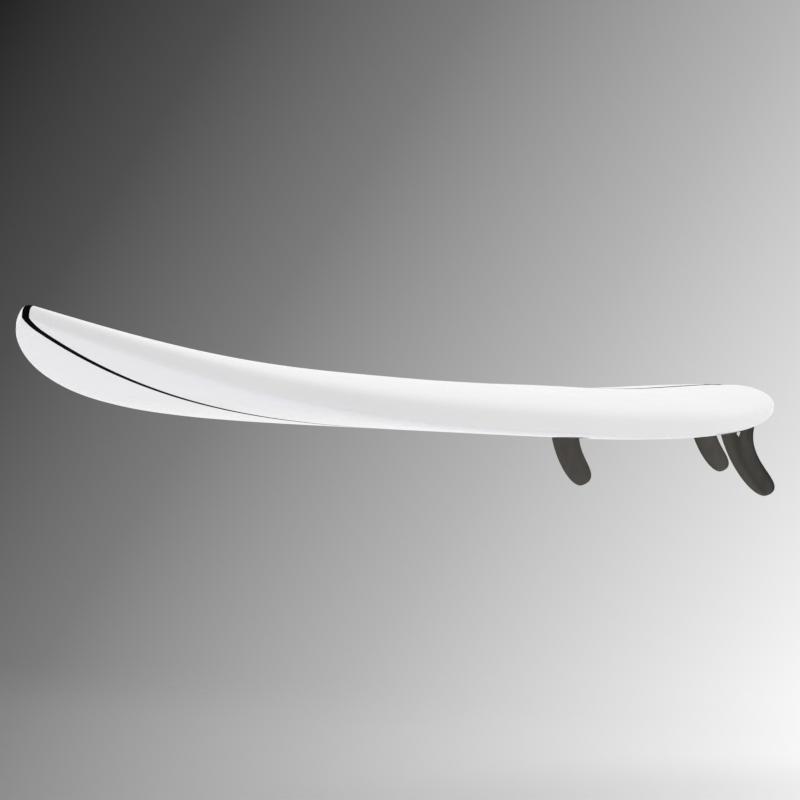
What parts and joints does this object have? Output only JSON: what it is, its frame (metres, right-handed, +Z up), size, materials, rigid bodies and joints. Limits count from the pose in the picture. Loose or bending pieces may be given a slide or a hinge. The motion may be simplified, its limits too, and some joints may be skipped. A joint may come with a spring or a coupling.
{
  "type": "surfboard",
  "caption": "White surfboard with a pointed nose, a rounded tail, a black stringer line, removable dark fins in plugs and a black leash cup.",
  "frame": {"origin": "on the underside, halfway along the board and on its centre plane, at the height of the lowest line of the bottom", "axes": "+X from the nose towards the tail, +Y towards the right rail of a rider who faces the nose, +Z up through the deck"},
  "size_m": [2.134, 0.523, 0.2112],
  "materials": {
    "foam": "matte",
    "stringer": "satin",
    "laminate": "gloss",
    "fin": "satin",
    "plug": "satin",
    "screw": "satin",
    "cup": "satin",
    "bar": "polished"
  },
  "bodies": {
    "board": {"blank_left": "foam", "blank_right": "foam", "stringer": "stringer", "deck_laminate": "laminate", "bottom_laminate": "laminate", "left_front_fin_plug": "plug", "left_rear_fin_plug": "plug", "right_front_fin_plug": "plug", "right_rear_fin_plug": "plug", "centre_front_fin_plug": "plug", "centre_rear_fin_plug": "plug", "leash_cup": "cup", "leash_bar": "bar"},
    "left_fin": {"left_fin": "fin"},
    "right_fin": {"right_fin": "fin"},
    "centre_fin": {"centre_fin": "fin"},
    "left_front_grub_screw": {"left_front_grub_screw": "screw"},
    "left_rear_grub_screw": {"left_rear_grub_screw": "screw"},
    "right_front_grub_screw": {"right_front_grub_screw": "screw"},
    "right_rear_grub_screw": {"right_rear_grub_screw": "screw"},
    "centre_front_grub_screw": {"centre_front_grub_screw": "screw"},
    "centre_rear_grub_screw": {"centre_rear_grub_screw": "screw"}
  },
  "joints": [
    {"name": "left_fin_pull_out", "type": "slide", "parent": "board", "child": "left_fin", "axis": [0.1194, -0.026, -0.9925], "range_m": [0, 0.03]},
    {"name": "right_fin_pull_out", "type": "slide", "parent": "board", "child": "right_fin", "axis": [0.1194, 0.026, -0.9925], "range_m": [0, 0.03]},
    {"name": "centre_fin_pull_out", "type": "slide", "parent": "board", "child": "centre_fin", "axis": [0.1166, 0, -0.9932], "range_m": [0, 0.03]},
    {"name": "left_front_screw_back_out", "type": "slide", "parent": "board", "child": "left_front_grub_screw", "axis": [0.1154, 0.5518, -0.8259], "range_m": [0, 0.006]},
    {"name": "left_rear_screw_back_out", "type": "slide", "parent": "board", "child": "left_rear_grub_screw", "axis": [0.1154, 0.5518, -0.8259], "range_m": [0, 0.006]},
    {"name": "right_front_screw_back_out", "type": "slide", "parent": "board", "child": "right_front_grub_screw", "axis": [0.1154, -0.5518, -0.8259], "range_m": [0, 0.006]},
    {"name": "right_rear_screw_back_out", "type": "slide", "parent": "board", "child": "right_rear_grub_screw", "axis": [0.1154, -0.5518, -0.8259], "range_m": [0, 0.006]},
    {"name": "centre_front_screw_back_out", "type": "slide", "parent": "board", "child": "centre_front_grub_screw", "axis": [0.0955, -0.5736, -0.8136], "range_m": [0, 0.006]},
    {"name": "centre_rear_screw_back_out", "type": "slide", "parent": "board", "child": "centre_rear_grub_screw", "axis": [0.0955, -0.5736, -0.8136], "range_m": [0, 0.006]}
  ]
}
